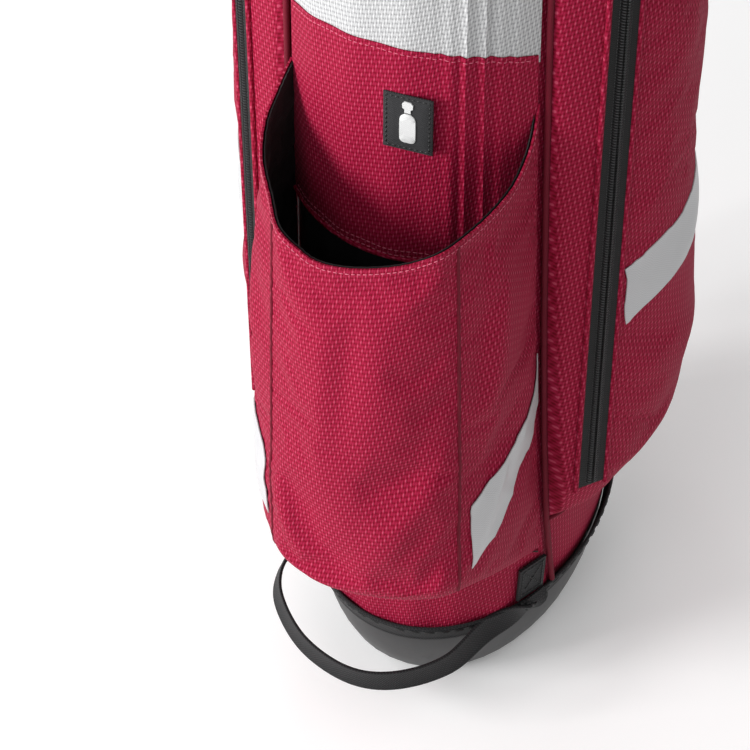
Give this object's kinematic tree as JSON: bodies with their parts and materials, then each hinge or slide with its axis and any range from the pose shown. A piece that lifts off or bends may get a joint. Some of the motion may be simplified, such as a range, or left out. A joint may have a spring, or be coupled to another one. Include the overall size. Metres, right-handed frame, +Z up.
{
  "type": "golf stand bag",
  "caption": "Upright golf bag with a hinged foot, two folding legs, a divided mouth, zipped pockets, an open bottle pocket, straps, a handle and a grab loop at its base.",
  "frame": {"origin": "centre of the flat sole of the base cup, in the plane of the rear wedge edge", "axes": "+Z up along the bag, +Y towards the folded legs, -Y towards the bottle pocket, straps and grab loop, +X to the bag's right seen from the bottle pocket side"},
  "size_m": [0.2634, 0.4921, 0.9],
  "materials": {
    "crimson_weave": "coarse dobby-woven polyester with small light dots",
    "crimson_side_weave": "coarse dobby-woven polyester",
    "maroon_weave": "coarse dobby-woven polyester, darker tone",
    "grey_weave": "light grey dobby-woven polyester",
    "lining": "plain black lining cloth",
    "reflective": "light grey reflective tape",
    "white_print": "raised white print",
    "webbing": "ribbed black polyester webbing",
    "zip_tape": "black knitted zip tape",
    "zip_coil": "black nylon coil",
    "slider_metal": "black enamelled die casting",
    "pull_rubber": "moulded soft pull",
    "piping": "thin corded piping",
    "label_cloth": "black woven label",
    "cup_plastic": "satin moulded plastic",
    "moulded_black": "fine-grained moulded nylon",
    "cuff_padding": "padded knitted cuff",
    "steel_wire": "drawn wire, satin",
    "leg_alloy": "anodised graphite tube",
    "rubber": "moulded rubber",
    "glass_fibre": "glass-fibre rod",
    "strap_cloth": "black padded cloth over foam",
    "harness_cloth": "black reinforced cloth"
  },
  "bodies": {
    "root": {"ball_pocket": "crimson_side_weave", "base_cup": "cup_plastic", "base_trim": "webbing", "bottle_mark": "white_print", "bottle_pocket": "crimson_weave", "centre_panel_lower": "crimson_weave", "centre_panel_upper": "grey_weave", "divider_grid": "moulded_black", "divider_panels": "lining", "foot_pin": "steel_wire", "gusset_stripe_left": "reflective", "gusset_stripe_right": "reflective", "handle_anchor": "webbing", "harness_plate": "harness_cloth", "label_patch": "label_cloth", "leg_bracket": "moulded_black", "leg_pin_left": "steel_wire", "leg_pin_right": "steel_wire", "loop_patch_left": "webbing", "loop_patch_right": "webbing", "piping_left": "piping", "piping_right": "piping", "side_pocket_left": "crimson_side_weave", "side_pocket_right": "crimson_side_weave", "side_stripe_left": "reflective", "side_stripe_right": "reflective", "stay_rod_left": "glass_fibre", "stay_rod_right": "glass_fibre", "strap_anchor_left": "webbing", "strap_anchor_right": "webbing", "top_cuff": "cuff_padding", "towel_clip": "moulded_black", "tube_wall": "maroon_weave", "zip_coil_ball": "zip_coil", "zip_coil_left": "zip_coil", "zip_coil_right": "zip_coil", "zip_tape_ball": "zip_tape", "zip_tape_left": "zip_tape", "zip_tape_right": "zip_tape"},
    "foot_plate": {"base_foot": "moulded_black"},
    "grab_loop": {"base_loop": "webbing"},
    "handle": {"carry_handle": "strap_cloth"},
    "leg_left": {"leg_foot_left": "rubber", "leg_hinge_left": "moulded_black", "leg_tube_left": "leg_alloy"},
    "leg_right": {"leg_foot_right": "rubber", "leg_hinge_right": "moulded_black", "leg_tube_right": "leg_alloy"},
    "push_link": {"push_rod": "steel_wire", "push_yoke": "moulded_black"},
    "strap_left": {"shoulder_strap_left": "strap_cloth"},
    "strap_right": {"shoulder_strap_right": "strap_cloth"},
    "towel_ring": {"towel_ring": "steel_wire"},
    "zip_pull_ball": {"zip_pull_ball": "pull_rubber"},
    "zip_pull_left": {"zip_pull_left": "pull_rubber"},
    "zip_pull_right": {"zip_pull_right": "pull_rubber"},
    "zip_slider_ball": {"zip_slider_ball": "slider_metal"},
    "zip_slider_left": {"zip_slider_left": "slider_metal"},
    "zip_slider_right": {"zip_slider_right": "slider_metal"}
  },
  "joints": [
    {"name": "leg_right_swing", "type": "hinge", "parent": "root", "child": "leg_right", "pos_m": [0.0535, 0.15, 0.76], "axis": [0.9205, -0.3907, 0], "range_deg": [0, 40], "stiffness_Nm_per_rad": 3, "springref_deg": -28.65},
    {"name": "leg_left_swing", "type": "hinge", "parent": "root", "child": "leg_left", "pos_m": [-0.0535, 0.15, 0.76], "axis": [0.9205, 0.3907, 0], "range_deg": [0, 40.2]},
    {"name": "push_link_slide", "type": "slide", "parent": "root", "child": "push_link", "axis": [0, 0, 1], "range_m": [0, 0.0306]},
    {"name": "foot_plate_tilt", "type": "hinge", "parent": "root", "child": "foot_plate", "pos_m": [0, 0.02, 0.01], "axis": [1, 0, 0], "range_deg": [0, 15.2]},
    {"name": "zip_slide_left", "type": "slide", "parent": "root", "child": "zip_slider_left", "axis": [0.0125, -0.0208, -0.9997], "range_m": [0, 0.5]},
    {"name": "zip_pull_flip_left", "type": "hinge", "parent": "zip_slider_left", "child": "zip_pull_left", "pos_m": [-0.11625, -0.06373, 0.69074], "axis": [-0.6834, 0.73, 0], "range_deg": [0, 110]},
    {"name": "zip_slide_right", "type": "slide", "parent": "root", "child": "zip_slider_right", "axis": [-0.0125, -0.0208, -0.9997], "range_m": [0, 0.5]},
    {"name": "zip_pull_flip_right", "type": "hinge", "parent": "zip_slider_right", "child": "zip_pull_right", "pos_m": [0.11625, -0.06373, 0.69074], "axis": [-0.6834, -0.73, 0], "range_deg": [0, 110]},
    {"name": "zip_slide_ball", "type": "slide", "parent": "root", "child": "zip_slider_ball", "axis": [0.0072, -0.012, -0.9999], "range_m": [0, 0.148]},
    {"name": "zip_pull_flip_ball", "type": "hinge", "parent": "zip_slider_ball", "child": "zip_pull_ball", "pos_m": [0.0276, 0.20042, 0.36363], "axis": [0.9726, -0.2326, 0], "range_deg": [0, 110]},
    {"name": "towel_ring_swing", "type": "hinge", "parent": "root", "child": "towel_ring", "pos_m": [-0.1098, 0.02797, 0.803], "axis": [0.1147, 0.9934, 0], "range_deg": [0, 120]},
    {"name": "grab_loop_lift", "type": "hinge", "parent": "root", "child": "grab_loop", "pos_m": [0, -0.07763, 0.072], "axis": [-1, 0, 0], "range_deg": [0, 35]},
    {"name": "handle_sway", "type": "hinge", "parent": "root", "child": "handle", "pos_m": [0, -0.1215, 0.706], "axis": [0, -0.012, 0.9999], "range_deg": [-20, 20]},
    {"name": "strap_left_swing", "type": "hinge", "parent": "root", "child": "strap_left", "pos_m": [-0.054, -0.1065, 0.71], "axis": [0.004, 0.015, -0.9999], "range_deg": [-15, 20]},
    {"name": "strap_right_swing", "type": "hinge", "parent": "root", "child": "strap_right", "pos_m": [0.054, -0.1065, 0.71], "axis": [0.004, -0.015, 0.9999], "range_deg": [-15, 20]}
  ],
  "couplings": [
    {"joint": "leg_left_swing", "follows": "leg_right_swing", "ratio": 1},
    {"joint": "push_link_slide", "follows": "leg_right_swing", "m_per_rad": 0.0436},
    {"joint": "foot_plate_tilt", "follows": "leg_right_swing", "ratio": 0.375}
  ]
}
